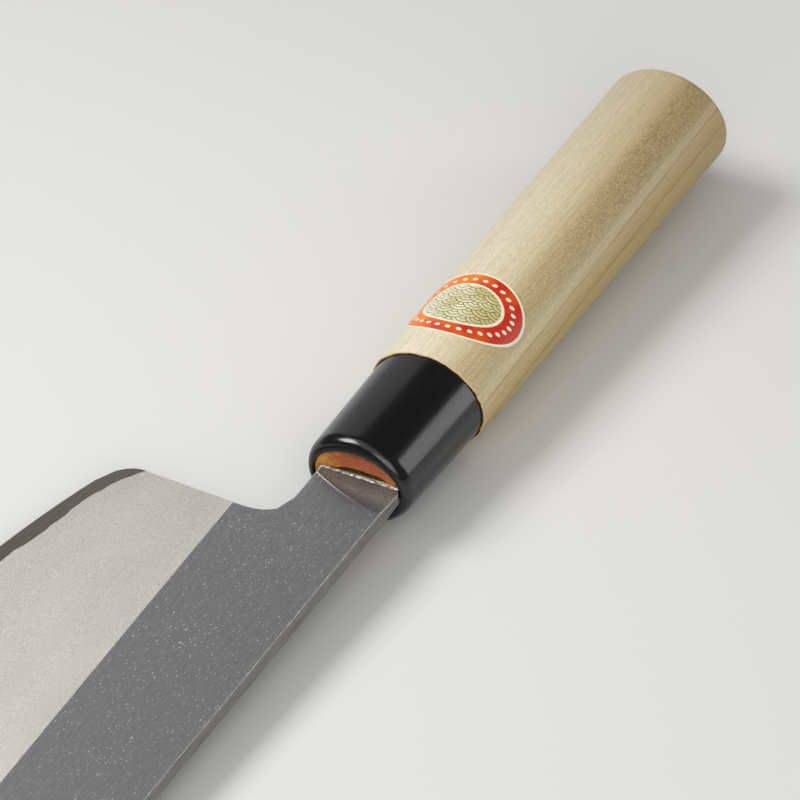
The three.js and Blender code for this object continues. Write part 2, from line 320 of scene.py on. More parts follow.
def blastedBevel(place):
    # Soft iron blasted to a haze: pale and matt, with an even fine grain
    material, tree, point = frameMaterial("soft_iron_blasted_haze", place)
    grit = addNode(tree, "VectorMath", (point, bladeSteel["blastGrain"]), operation="DIVIDE")
    grain = addNode(tree, "TexNoise", {"Vector": grit, "Scale": 1, "Detail": 3, "Roughness": 0.7})
    broad = addNode(tree, "VectorMath", (point, bladeSteel["cloud"]), operation="DIVIDE")
    cloud = addNode(tree, "TexNoise", {"Vector": broad, "Scale": 1})
    tone = addNode(tree, "Math", (cloud, bladeSteel["cloudShare"], grain), operation="MULTIPLY_ADD")
    haze = addNode(tree, "ValToRGB", (tone,), stops=bladeSteel["bevelTones"])
    # a painted highlight line along the outline of the heel
    paintedEdgeLight = addNode(tree, "Attribute", attribute_name="crest").outputs["Fac"]
    colour = addNode(tree, "Mix", (paintedEdgeLight, haze, hexColour(bladeSteel["burr"])), data_type="RGBA")
    rough = addNode(tree, "MapRange", (grain, *bladeSteel["bevelRough"]))
    depth = bladeSteel["grainDepth"] * mm
    bump = addNode(tree, "Bump", {"Height": grain, "Strength": 0.5, "Distance": depth})
    shader = addNode(tree, "BsdfPrincipled", {"Base Color": colour, "Metallic": 1, "Roughness": rough,
                                              "Normal": bump})
    addNode(tree, "OutputMaterial", {"Surface": shader})
    return material


def stonedEdge(place):
    # Hard steel off a fine stone: much darker than the hazy iron beside it, with a close satin
    material, tree, point = frameMaterial("hard_steel_fine_stoned", place)
    grit = addNode(tree, "VectorMath", (point, bladeSteel["blastGrain"]), operation="DIVIDE")
    grain = addNode(tree, "TexNoise", {"Vector": grit, "Scale": 1, "Detail": 3, "Roughness": 0.7})
    stroke = addNode(tree, "VectorMath", (point, bladeSteel["fileMark"]), operation="DIVIDE")
    marks = addNode(tree, "TexNoise", {"Vector": stroke, "Scale": 1, "Detail": 3})
    tone = addNode(tree, "Math", (marks, bladeSteel["stoneShare"], grain), operation="MULTIPLY_ADD")
    colour = addNode(tree, "ValToRGB", (tone,), stops=bladeSteel["bandTones"])
    rough = addNode(tree, "MapRange", (marks, *bladeSteel["bandRough"]))
    depth = bladeSteel["lineDepth"] * mm
    bump = addNode(tree, "Bump", {"Height": grain, "Strength": 0.3, "Distance": depth})
    shader = addNode(tree, "BsdfPrincipled", {"Base Color": colour, "Metallic": 1, "Roughness": rough,
                                              "Normal": bump})
    addNode(tree, "OutputMaterial", {"Surface": shader})
    return material


def filedWall(place):
    # Spine and heel drawn with a file along their length: satin grey
    material, tree, point = frameMaterial("soft_iron_filed", place)
    stroke = addNode(tree, "VectorMath", (point, bladeSteel["fileMark"]), operation="DIVIDE")
    marks = addNode(tree, "TexNoise", {"Vector": stroke, "Scale": 1, "Detail": 4, "Roughness": 0.6})
    colour = addNode(tree, "ValToRGB", (marks,), stops=bladeSteel["wallTones"])
    rough = addNode(tree, "MapRange", (marks, *bladeSteel["wallRough"]))
    depth = bladeSteel["lineDepth"] * mm
    bump = addNode(tree, "Bump", {"Height": marks, "Strength": 0.3, "Distance": depth})
    shader = addNode(tree, "BsdfPrincipled", {"Base Color": colour, "Metallic": 1, "Roughness": rough,
                                              "Normal": bump})
    addNode(tree, "OutputMaterial", {"Surface": shader})
    return material


def arrisWithPaintedHighlight(place):
    # Worn corners, pale and only part metal, so that a painted highlight runs as a thin light line round
    # the blade
    material, tree, point = frameMaterial("soft_iron_arris_painted_highlight", place)
    short = addNode(tree, "VectorMath", (point, bladeSteel["shortLine"]), operation="DIVIDE")
    marks = addNode(tree, "TexNoise", {"Vector": short, "Scale": 1})
    colour = addNode(tree, "ValToRGB", (marks,), stops=bladeSteel["arrisTones"])
    rough = addNode(tree, "MapRange", (marks, *bladeSteel["arrisRough"]))
    shader = addNode(tree, "BsdfPrincipled", {"Base Color": colour, "Metallic": 0.6, "Roughness": rough})
    addNode(tree, "OutputMaterial", {"Surface": shader})
    return material


def forgedTang(place):
    # Iron left as it came from the fire: flaky scale, dark olive partly for the scale and partly as painted
    # shade of the slit over it
    material, tree, point = frameMaterial("soft_iron_fire_scale_shaded", place)
    flake = addNode(tree, "VectorMath", (point, bladeSteel["scaleFlake"]), operation="DIVIDE")
    flakes = addNode(tree, "TexNoise", {"Vector": flake, "Scale": 1, "Detail": 3, "Roughness": 0.6})
    colour = addNode(tree, "ValToRGB", (flakes,), stops=bladeSteel["scaleAndShadeTones"])
    rough = addNode(tree, "MapRange", (flakes, *bladeSteel["scaleRough"]))
    depth = bladeSteel["grainDepth"] * mm
    bump = addNode(tree, "Bump", {"Height": flakes, "Strength": 0.4, "Distance": depth})
    shader = addNode(tree, "BsdfPrincipled", {"Base Color": colour, "Roughness": rough, "Normal": bump})
    addNode(tree, "OutputMaterial", {"Surface": shader})
    return material


# Blade: in the frame of its spine, which is turned a little from the handle

blade = {
    "turn": 0.6,  # degrees from the handle axis
    "spine": 10.5,
    "spineThickness": 3.7,
    "tipThickness": 2.4,
    "tip": 252,
    "noseRadius": 11,
    "noseSweep": 115,
    "edgeRadius": 240,
    "depth": 71.4,
    "deepest": 93.6,
    "ridgeDepth": 29.75,
    "tipRidgeDepth": 25.8,
    "tipBevel": 12,
    "ridgeBlend": 6,
    "heel": 17,
    "heelLean": 6.1,
    "heelRounding": 7,
    "neckWidth": 18.5,
    "neckFillet": 7,
    "heelFillet": 11,
    "neckCut": 0.7,
    "neckCutAt": -0.3,
    "neckEntry": 1.7,
    "band": 4.2,
    "bandHalf": 0.61,
    "edgeHalf": 0.01,
    "weldWidth": 4.15,
    "weldFlare": (2.0, 13.8, 4.0),  # wider at the heel: by how much, from where, fading over what length
    # height, length and the place of a crest; the first two drift apart, so that the line hardly repeats
    "weldWaves": ((0.24, 24, 38), (0.2, 30.5, 38), (0.1, 9.3, 4), (0.09, 5.3, 1), (0.07, 3.1, 0.6)),
    "rampAtSpine": 7.7,
    "rampAtBelly": 0.8,
    "rampBulge": 0.8,
    "rampSlope": 0.0844,
    "rampFade": (4.5, 0.5),  # length over which its scale sets in, at the spine and at the belly
    "crestWidth": 0.28,
    "crestShow": (-0.4, 1.3),  # the painted highlight on the crest is sharpest at the belly
    "crestLeast": 0.1,
    "paintedHighlight": 0.3,  # width of the painted highlight line inside the outline of the heel
    "burr": ((0, 0.4, 1), (0.16, 1, 1), (0.36, 0.5, 0.8), (0.56, 0, 0)),  # from the end, height, painted brightness
    "burrHeight": 0.28,
    "burrRagged": 0.95,
    "burrWander": 0.5,
    "burrGain": 3,  # how soon a ragged row carries its painted highlight all over
    "burrSeed": 11,
    "wornAngle": 50,  # degrees, beyond which a corner is worn
    "arrisWidth": 0.2,
    "arrisSteps": 2,
    "wallFacing": 0.5,  # walls and the neck's end are told by their normals
    "endFacing": 0.6,
    "tang": ((-2.4, 13, 2.2), (-98, 7, 1.8)),  # x, width, thickness
    "neckRows": 44,
    "flatRows": 8,
    "bevelRows": 12,
    "bandRows": 5,
    "rampColumns": 14,
    "neckColumns": 5,
    "columns": 300,
    "halvings": 40,
    "smoothAngle": 1.5,
    "bandSmoothAngle": 3,
}
belly = blade["spine"] - blade["neckWidth"]
neckFront = blade["heel"] - blade["neckFillet"]


def edgeAt(x):
    middle = blade["spine"] - blade["depth"] + blade["edgeRadius"]
    return middle - math.sqrt(blade["edgeRadius"] ** 2 - (x - blade["deepest"]) ** 2)


def ridgeAt(x):  # straight, bending near the tip to follow the edge
    straight = blade["spine"] - lerp(blade["ridgeDepth"], blade["tipRidgeDepth"], x / blade["tip"])
    alongEdge = edgeAt(x) + blade["tipBevel"]
    return (straight + alongEdge + math.hypot(straight - alongEdge, blade["ridgeBlend"])) / 2


def weldAt(x):  # wavy line where the hard steel comes out of the iron
    waves = 0
    for height, length, crest in blade["weldWaves"]:
        waves += height * math.cos(math.tau * (x - crest) / length)
    most, start, fade = blade["weldFlare"]
    return edgeAt(x) + blade["weldWidth"] + most * math.exp((start - x) / fade) + waves


def heelAt(y):
    return blade["heel"] - math.tan(math.radians(blade["heelLean"])) * (belly - y)


def halfThickness(x, y):
    full = lerp(blade["spineThickness"], blade["tipThickness"], x / blade["tip"]) / 2
    ridge, edge = ridgeAt(x), edgeAt(x)
    top = edge + blade["band"]
    if y >= ridge:
        return full
    if y >= top:
        return lerp(blade["bandHalf"], full, (y - top) / (ridge - top))
    return max(blade["edgeHalf"], blade["bandHalf"] * (y - edge) / blade["band"])


def rowAt(row, x):  # height of a row of the mesh, named by its zone and its share of it
    zone, share = row
    bounds = {
        "flat": (blade["spine"], ridgeAt(x)),
        "bevel": (ridgeAt(x), weldAt(x)),
        "band": (weldAt(x), edgeAt(x)),
    }
    return lerp(*bounds[zone], share)


def curve(a, b, c, t):  # an arc from a to c, drawn towards b
    return tuple(lerp(lerp(p, q, t), lerp(q, r, t), t) for p, q, r in zip(a, b, c))


def heelOutline(t):  # 0 to 1 fillet under the neck, 1 to 2 heel, 2 to 3 rounded chin
    chinX = heelAt(edgeAt(blade["heel"]))
    chinY = edgeAt(chinX)
    chinEnd = chinX + blade["heelRounding"]
    filletEnd = belly - blade["heelFillet"]
    chinStart = chinY + blade["heelRounding"]
    if t < 1:
        return curve((neckFront, belly), (blade["heel"], belly), (heelAt(filletEnd), filletEnd), t)
    if t < 2:
        y = lerp(filletEnd, chinStart, t - 1)
        return heelAt(y), y
    return curve((heelAt(chinStart), chinStart), (chinX, chinY), (chinEnd, edgeAt(chinEnd)), t - 2)


def noseOutline(t):  # from the spine round to the edge
    angle = math.radians(90 - blade["noseSweep"] * t)
    x = blade["tip"] - blade["noseRadius"] + blade["noseRadius"] * math.cos(angle)
    return x, blade["spine"] - blade["noseRadius"] + blade["noseRadius"] * math.sin(angle)


def meet(outline, last, row):  # x where a row meets an outline that runs from 0 to last, by halving
    low, high = 0, last
    for _ in range(blade["halvings"]):
        t = (low + high) / 2
        x, y = outline(t)
        if y > rowAt(row, x):
            low = t
        else:
            high = t
    return outline(low)[0]


def neckColumn(share):  # places along the neck with burr height, painted burr brightness and painted crest highlight, from the mouth
    bulge = 4 * blade["rampBulge"] * share * (1 - share)  # most in the middle
    line = lerp(blade["rampAtSpine"], blade["rampAtBelly"], share) + bulge
    end = -blade["neckEntry"]
    column = [(end + reach, height, bright, 0) for reach, height, bright in blade["burr"]]
    start, stop = column[-1][0], line - blade["crestWidth"]
    for i in range(1, blade["rampColumns"] + 1):
        column.append((lerp(start, stop, i / blade["rampColumns"]), 0, 0, 0))
    column.append((line, 0, 0, clamp(lerp(*blade["crestShow"], share), blade["crestLeast"], 1)))
    for i in range(blade["neckColumns"]):
        column.append((lerp(line + blade["crestWidth"], neckFront, i / blade["neckColumns"]), 0, 0, 0))
    return line, column


def gridPiece(name, rows, neckRows):
    neckCount = len(neckColumn(0)[1]) if neckRows else 0
    columns = neckCount + blade["columns"]
    piece = newPiece(name, bpy.ops.mesh.primitive_grid_add,
                     x_subdivisions=columns, y_subdivisions=len(rows) - 1, size=mm)
    dice = random.Random(blade["burrSeed"])
    places, marks, spare = [], {"scaled": [], "burr": [], "crest": []}, set()
    for r, row in enumerate(rows):
        onNeck = neckRows and r <= neckRows
        start = neckFront if onNeck else meet(heelOutline, 3, row)
        end = meet(noseOutline, 1, row)
        line, column = neckColumn(r / neckRows) if onNeck else (0, [])
        fade = lerp(*blade["rampFade"], r / neckRows) if onNeck else 1
        onOutline = float(not onNeck or r == neckRows)
        ragged = lerp(1, dice.random(), blade["burrRagged"])
        wander = (dice.random() - 0.5) * blade["burrWander"]
        for c in range(columns + 1):
            scaled, burr, crest = 0.0, 0.0, 0.0
            step = c - neckCount
            # the first column lies on the outline of the heel and carries its painted highlight line
            if step == 0:
                x, crest = start, onOutline
            elif step > 0:
                x = lerp(start + blade["paintedHighlight"], end, (step - 1) / (blade["columns"] - 1))
            if step >= 0:
                y = rowAt(row, x)
                z = halfThickness(x, y)
            elif onNeck:
                x, rise, bright, crest = column[c]
                crest = max(crest, onOutline)
                x += wander * bright
                top = blade["spine"] - clamp(blade["neckCutAt"] - x, 0, blade["neckCut"])
                y = lerp(top, belly, r / neckRows)
                run = max(0, line - x)
                scaled = min(1, run / fade)
                # the burr's brightness is a painted highlight
                burr = bright * min(1, blade["burrGain"] * ragged)
                z = halfThickness(x, blade["spine"]) - blade["rampSlope"] * run
                z += rise * ragged * blade["burrHeight"]
            else:
                x, y, z = 0, 0, 0
                spare.add(len(places))
            places.append((x, y, z))
            for mark, value in zip(marks, (scaled, burr, crest)):
                marks[mark].append(value)
    mesh = piece.data
    mesh.vertices.foreach_set("co", [v * mm for place in places for v in place])
    for mark, values in marks.items():
        mesh.attributes.new(mark, "FLOAT", "POINT").data.foreach_set("value", values)
    pick(piece, "VERT", lambda v: v.index in spare)  # the open corner under the neck
    bpy.ops.mesh.delete(type="VERT")
    bpy.ops.mesh.select_all(action="SELECT")
    bpy.ops.mesh.extrude_region_move(TRANSFORM_OT_translate={"value": (0, 0, 0)})
    bpy.ops.transform.resize(value=(1, 1, -1), center_override=(0, 0, 0))  # the lower face
    closeMesh(piece)
    return piece


def drawTang(piece, materialIndex):  # the end of the neck is drawn out in two steps
    pick(piece, "FACE", lambda f: f.normal.x < -blade["endFacing"] and f.center.x < 0)
    for x, width, thickness in blade["tang"]:
        bpy.ops.mesh.extrude_region_move(TRANSFORM_OT_translate={"value": (0, 0, 0)})
        bpy.ops.object.mode_set(mode="OBJECT")
        picked = [v for v in piece.data.vertices if v.select]
        low = min(v.co.y for v in picked)
        high = max(v.co.y for v in picked)
        drift = -x * math.sin(math.radians(blade["turn"]))
        for v in picked:
            y = drift + width * ((v.co.y - low) / (high - low) - 0.5)
            v.co = Vector((x, y, math.copysign(thickness / 2, v.co.z))) * mm
        bpy.ops.object.mode_set(mode="EDIT")
    bpy.ops.object.mode_set(mode="OBJECT")
    for face in piece.data.polygons:
        if face.center.x < -blade["neckEntry"] * mm - blade["burrWander"] * mm:
            face.material_index = materialIndex


def wearCorners(piece, materialIndex):  # narrow bevels on the corners, fading out towards the edge
    pick(piece, "EDGE", lambda e: False)
    bpy.ops.mesh.edges_select_sharp(sharpness=math.radians(blade["wornAngle"]))
    bpy.ops.object.mode_set(mode="OBJECT")
    mesh = piece.data
    weights = []
    for e in mesh.edges:
        middle = (mesh.vertices[e.vertices[0]].co + mesh.vertices[e.vertices[1]].co) / (2 * mm)
        fade = clamp((abs(middle.z) - blade["bandHalf"]) / blade["bandHalf"], 0, 1)
        weights.append(fade if e.select and middle.x > 0 else 0.0)
    mesh.attributes.new("bevel_weight_edge", "FLOAT", "EDGE").data.foreach_set("value", weights)
    applyModifier(piece, "BEVEL", limit_method="WEIGHT", width=blade["arrisWidth"] * mm,
                  segments=blade["arrisSteps"], use_clamp_overlap=False, material=materialIndex)


def makeBlade(place):
    bladePlace = place @ Matrix.Rotation(math.radians(blade["turn"]), 4, "Z")
    bellyShare = blade["neckWidth"] / (blade["spine"] - ridgeAt(neckFront))
    rows = [("flat", bellyShare * i / blade["neckRows"]) for i in range(blade["neckRows"] + 1)]
    rows += [("flat", lerp(bellyShare, 1, i / blade["flatRows"])) for i in range(1, blade["flatRows"] + 1)]
    rows += [("bevel", i / blade["bevelRows"]) for i in range(1, blade["bevelRows"] + 1)]
    body = gridPiece("blade_iron", rows, blade["neckRows"])
    flat, bevel, wall, arris, tang = range(5)
    for face in body.data.polygons:
        x, y, _ = face.center / mm
        onFlat = y > ridgeAt(max(x, 0))
        onWall = abs(face.normal.z) < blade["wallFacing"]
        face.material_index = wall if onWall else flat if onFlat else bevel
    drawTang(body, tang)
    for finish in (polishedFlat, blastedBevel, filedWall, arrisWithPaintedHighlight, forgedTang):
        body.data.materials.append(finish(bladePlace))
    wearCorners(body, arris)
    finishPiece(body, "blade_body", [], bladePlace, blade["smoothAngle"])
    bandRows = [("band", i / blade["bandRows"]) for i in range(blade["bandRows"] + 1)]
    band = gridPiece("edge_band", bandRows, 0)
    finishPiece(band, "edge_steel", [stonedEdge(bladePlace)], bladePlace,
                blade["bandSmoothAngle"])


# Grip

grip = {
    "frontWidth": 26.8,
    "buttWidth": 28.4,
    "frontRounding": 0.4,
    "buttRounding": 2,
    "cornerSteps": 10,
    "frontRagged": 0.06,  # tool marks on the front edge
    "raggedSeed": 4,
    "smoothAngle": 30,
    "wander": (70, 16, 16),
    "ringAcross": (-0.022, 0.866, -0.5),  # direction across the growth rings
    "ringWander": 1.6,
    "ringWidth": 2.4,
    # the lighter tone at 0.79, beside the streak, is partly a painted sheen
    "ground": ((0.06, "#e6ddc4"), (0.36, "#d8c9a5"), (0.6, "#d4c090"), (0.79, "#dccaa2"), (0.9, "#c5ad76")),
    "groundRange": (-8, 15),  # across the rings
    "groundBand": 2.4,
    "buttDarkening": "#ab9365",  # darker towards the butt, partly a painted fall-off of the light
    "buttDarkeningRange": (-50, -150, 0, 0.6),  # along x
    "streak": "#83704a",
    "streakRise": (-0.4, 3.6),  # across the rings
    "streakFall": (7.0, 10.2, 1, 0),
    "streakDepth": (-30, -110, 0.35, 1),  # along x
    "fleck": (0.26, 0.6, 0.6),  # rays of the wood, upright to the grain
    "fleckRange": (0.36, 0.64, 0.12, 0.78),
    "pore": "#937a4d",
    "pores": (1.5, 0.2, 0.2),  # drawn coarser than real pores, so that they show
    "poreRange": (0.5, 0.72, 0, 0.5),
    "fineLine": (34, 0.26, 0.26),
    "fineLineRange": (0.46, 0.72, 0, 0.5),
    "grainLine": "#7d6238",
    "grainLines": ((10.9, 0.24, 0.5), (13.5, 0.3, 0.6)),  # place across the rings, width, strength
    "grainBreaks": (0.35, 0.6, 0.35, 1),
    "endGrain": "#d9c294",
    "endFace": (0.22, 0.06),  # how far behind the front it sets in and is full
    "scorchAndGapShade": "#3f2914",
    "scorchShadeReach": (0.42, 0.2),  # how far inside the horn it is full and ends
    "scorchShadeWander": 1.1,
    "stain": (2, 2, 2),
    "fibre": (7, 0.14, 0.14),  # drawn coarser than real fibres, so that they show
    "rough": (0.3, 0.7, 0.54, 0.4),
    "relief": 0.04,
}


def magnoliaWood(place):
    # Magnolia, planed and sanded bare: cream with fine short pores, a speckled grey-brown streak,
    # browner to one side
    material, tree, point = frameMaterial("magnolia_sanded", place)
    slow = addNode(tree, "VectorMath", (point, grip["wander"]), operation="DIVIDE")
    wander = addNode(tree, "TexNoise", {"Vector": slow, "Scale": 1, "Detail": 2})
    centred = addNode(tree, "Math", (wander, 0.5), operation="SUBTRACT")
    dot = addNode(tree, "VectorMath", (point, grip["ringAcross"]), operation="DOT_PRODUCT")
    across = dot.outputs["Value"]
    rings = addNode(tree, "Math", (centred, grip["ringWander"], across), operation="MULTIPLY_ADD")
    growth = addNode(tree, "TexNoise", {"W": rings, "Scale": 1 / grip["ringWidth"], "Detail": 3},
                     noise_dimensions="1D")
    early = addNode(tree, "Math", (growth, 0.5), operation="SUBTRACT")
    banded = addNode(tree, "Math", (early, grip["groundBand"], rings), operation="MULTIPLY_ADD")
    share = addNode(tree, "MapRange", (banded, *grip["groundRange"]))
    ground = addNode(tree, "ValToRGB", (share,), stops=grip["ground"])
    x = addNode(tree, "SeparateXYZ", (point,)).outputs["X"]
    buttward = addNode(tree, "MapRange", (x, *grip["buttDarkeningRange"]))
    buttDarkening = addNode(tree, "Mix", (buttward, ground, hexColour(grip["buttDarkening"])), data_type="RGBA")

    # the streak, speckled by the rays, then pores and the lines of the grain
    rise = addNode(tree, "MapRange", (banded, *grip["streakRise"]), interpolation_type="SMOOTHSTEP")
    fall = addNode(tree, "MapRange", (banded, *grip["streakFall"]), interpolation_type="SMOOTHSTEP")
    streak = addNode(tree, "Math", (rise, fall), operation="MULTIPLY")
    dots = addNode(tree, "VectorMath", (point, grip["fleck"]), operation="DIVIDE")
    speck = addNode(tree, "TexNoise", {"Vector": dots, "Scale": 1, "Detail": 1})
    specks = addNode(tree, "MapRange", (speck, *grip["fleckRange"]))
    deeper = addNode(tree, "MapRange", (x, *grip["streakDepth"]))
    speckled = addNode(tree, "Math", (streak, specks), operation="MULTIPLY")
    inStreak = addNode(tree, "Math", (speckled, deeper), operation="MULTIPLY")
    streaked = addNode(tree, "Mix", (inStreak, buttDarkening, hexColour(grip["streak"])), data_type="RGBA")
    long = addNode(tree, "VectorMath", (point, grip["fineLine"]), operation="DIVIDE")
    lines = addNode(tree, "TexNoise", {"Vector": long, "Scale": 1, "Detail": 3, "Roughness": 0.65})
    lineMarks = addNode(tree, "MapRange", (lines, *grip["fineLineRange"]))
    short = addNode(tree, "VectorMath", (point, grip["pores"]), operation="DIVIDE")
    pores = addNode(tree, "TexNoise", {"Vector": short, "Scale": 1, "Detail": 2})
    poreMarks = addNode(tree, "MapRange", (pores, *grip["poreRange"]))
    marks = addNode(tree, "Math", (lineMarks, poreMarks), operation="MAXIMUM")
    barrel = addNode(tree, "Mix", (marks, streaked, hexColour(grip["pore"])), data_type="RGBA")
    broken = addNode(tree, "MapRange", (lines, *grip["grainBreaks"]))
    for at, width, strength in grip["grainLines"]:
        off = addNode(tree, "Math", (rings, at), operation="SUBTRACT")
        offSize = addNode(tree, "Math", (off,), operation="ABSOLUTE")
        drawn = addNode(tree, "MapRange", (offSize, 0, width, strength, 0))
        lineMark = addNode(tree, "Math", (drawn, broken), operation="MULTIPLY")
        barrel = addNode(tree, "Mix", (lineMark, barrel, hexColour(grip["grainLine"])), data_type="RGBA")

    # the end face at the collar: end grain, darkened against the horn partly by scorching and partly as
    # painted shade of the gap
    front = -handle["collarLength"]
    setIn, full = grip["endFace"]
    onEnd = addNode(tree, "MapRange", (x, front - setIn, front - full))
    oval = addNode(tree, "VectorMath", (point, (0, 1, 1 / handle["flatness"])), operation="MULTIPLY")
    radius = addNode(tree, "VectorMath", (oval,), operation="LENGTH").outputs["Value"]
    spots = addNode(tree, "VectorMath", (point, grip["stain"]), operation="DIVIDE")
    stain = addNode(tree, "TexNoise", {"Vector": spots, "Scale": 1, "Detail": 4, "Roughness": 0.7})
    horn = grip["frontWidth"] / 2 - collar["step"]
    black, bare = grip["scorchShadeReach"]
    roughly = addNode(tree, "Math", (stain, -grip["scorchShadeWander"], radius), operation="MULTIPLY_ADD")
    scorchShade = addNode(tree, "MapRange", (roughly, horn - black, horn - bare, 1, 0))
    endFace = addNode(tree, "Mix", (scorchShade, hexColour(grip["endGrain"]), hexColour(grip["scorchAndGapShade"])),
                      data_type="RGBA")
    colour = addNode(tree, "Mix", (onEnd, barrel, endFace), data_type="RGBA")

    thread = addNode(tree, "VectorMath", (point, grip["fibre"]), operation="DIVIDE")
    fibre = addNode(tree, "TexNoise", {"Vector": thread, "Scale": 1, "Detail": 2})
    rough = addNode(tree, "MapRange", (fibre, *grip["rough"]))
    relief = addNode(tree, "Math", (fibre, poreMarks), operation="SUBTRACT")
    bump = addNode(tree, "Bump", {"Height": relief, "Strength": 0.35, "Distance": grip["relief"] * mm})
    shader = addNode(tree, "BsdfPrincipled", {"Base Color": colour, "Roughness": rough,
                                              "Specular IOR Level": 0.45, "Normal": bump})
    addNode(tree, "OutputMaterial", {"Surface": shader})
    return material


def cutAway(piece, cutter):
    applyModifier(piece, "BOOLEAN", operation="DIFFERENCE", solver="EXACT", object=cutter)
    bpy.data.objects.remove(cutter)


def cutForTang(piece, gap):  # takes the room of the tang out of a piece of the handle
    cutter = newPiece("tang_cutter", bpy.ops.mesh.primitive_cube_add, size=1)
    (_, width, thickness), (end, endWidth, endThickness) = blade["tang"]
    for v in cutter.data.vertices:
        front = v.co.x > 0
        x = 0 if front else end - gap
        y = (width if front else endWidth) / 2 + gap
        z = (thickness if front else endThickness) / 2 + gap
        v.co = Vector((x, math.copysign(y, v.co.y), math.copysign(z, v.co.z))) * mm
    cutAway(piece, cutter)


def makeGrip(place):
    front = -handle["collarLength"]
    frontRound, buttRound = grip["frontRounding"], grip["buttRounding"]
    plug = (handle["mouthWidth"] / 2 - handle["fitGap"], handle["mouthThickness"] / 2 - handle["fitGap"])
    tenonFront = handle["rim"] - seal["recess"] - seal["depth"] - handle["fitGap"]
    buttCorner = (buttRound - handle["length"], grip["buttWidth"] / 2 - buttRound, buttRound, buttRound)
    frontCorner = (front - frontRound, grip["frontWidth"] / 2 - frontRound, frontRound, frontRound)
    rings = handleOval(roundCorner(*buttCorner, 180, 90, grip["cornerSteps"]))
    rings += handleOval(roundCorner(*frontCorner, 90, 0, grip["cornerSteps"] // 2))
    rings += [(front, *plug), (tenonFront, *plug)]
    piece = drawOval("grip_wood", rings)
    rim = (grip["frontWidth"] / 2 - 2 * frontRound) * handle["flatness"]
    pick(piece, "VERT", lambda v: v.co.x > (front - frontRound) * mm and v.co.yz.length > rim * mm)
    bpy.ops.transform.vertex_random(offset=grip["frontRagged"] * mm, seed=grip["raggedSeed"])
    bpy.ops.object.mode_set(mode="OBJECT")
    cutForTang(piece, seal["tangGap"])
    finishPiece(piece, "handle_grip", [magnoliaWood(place)], place, grip["smoothAngle"])


# Collar

collar = {
    "step": 0.65,  # how far the wood stands proud of it
    "taper": 0.65,
    "lipLength": 2.8,
    "lipDrop": 1.8,
    "lipSteps": 16,
    "mouthRounding": 0.35,
    "mouthSteps": 6,
    "backChamfer": 0.1,
    "smoothAngle": 30,
    "tones": ((0.2, "#0b0b0c"), (0.5, "#221f1d")),
    "rough": (0.3, 0.7, 0.24, 0.15),
    "streak": (30, 0.5, 0.5),
    "streakRelief": 0.08,  # share beside the waves
    "cloud": (26, 7, 7),
    "wave": (14, 6, 6),
    "waveDepth": 0.08,
}


def blackHorn(place):
    # Water-buffalo horn, turned and buffed: near black, with smoky streaks and a deep gloss
    material, tree, point = frameMaterial("buffalo_horn_buffed", place)
    thin = addNode(tree, "VectorMath", (point, collar["streak"]), operation="DIVIDE")
    streak = addNode(tree, "TexNoise", {"Vector": thin, "Scale": 1, "Detail": 4})
    broad = addNode(tree, "VectorMath", (point, collar["cloud"]), operation="DIVIDE")
    cloud = addNode(tree, "TexNoise", {"Vector": broad, "Scale": 1, "Detail": 2})
    slow = addNode(tree, "VectorMath", (point, collar["wave"]), operation="DIVIDE")
    wave = addNode(tree, "TexNoise", {"Vector": slow, "Scale": 1})
    smoke = addNode(tree, "Math", (streak, cloud), operation="MULTIPLY")
    colour = addNode(tree, "ValToRGB", (smoke,), stops=collar["tones"])
    rough = addNode(tree, "MapRange", (streak, *collar["rough"]))
    relief = addNode(tree, "Math", (streak, collar["streakRelief"], wave), operation="MULTIPLY_ADD")
    bump = addNode(tree, "Bump", {"Height": relief, "Strength": 0.3, "Distance": collar["waveDepth"] * mm})
    shader = addNode(tree, "BsdfPrincipled", {"Base Color": colour, "Roughness": rough, "IOR": 1.54,
                                              "Normal": bump})
    addNode(tree, "OutputMaterial", {"Surface": shader})
    return material


def makeCollar(place):
    back = handle["fitGap"] - handle["collarLength"]
    outer = grip["frontWidth"] / 2 - collar["step"]
    lip = outer - collar["taper"] - collar["lipDrop"]
    chamfer = collar["backChamfer"]
    width, thickness = handle["mouthWidth"] / 2, handle["mouthThickness"] / 2
    rings = [(back, width, thickness)]
    rings += handleOval([(back, outer - chamfer), (back + chamfer, outer)])
    lipCorner = (handle["rim"] - collar["lipLength"], lip, collar["lipLength"], collar["lipDrop"])
    rings += handleOval(roundCorner(*lipCorner, 90, 0, collar["lipSteps"]))
    size = collar["mouthRounding"]
    for x, inset in roundCorner(handle["rim"] - size, size, size, size, 0, -90, collar["mouthSteps"]):
        rings.append((x, width + inset, thickness + inset))
    rings.append((back, width, thickness))
    piece = drawOval("collar_horn", rings)
    finishPiece(piece, "ferrule", [blackHorn(place)], place, collar["smoothAngle"])


# Seal in the mouth of the collar

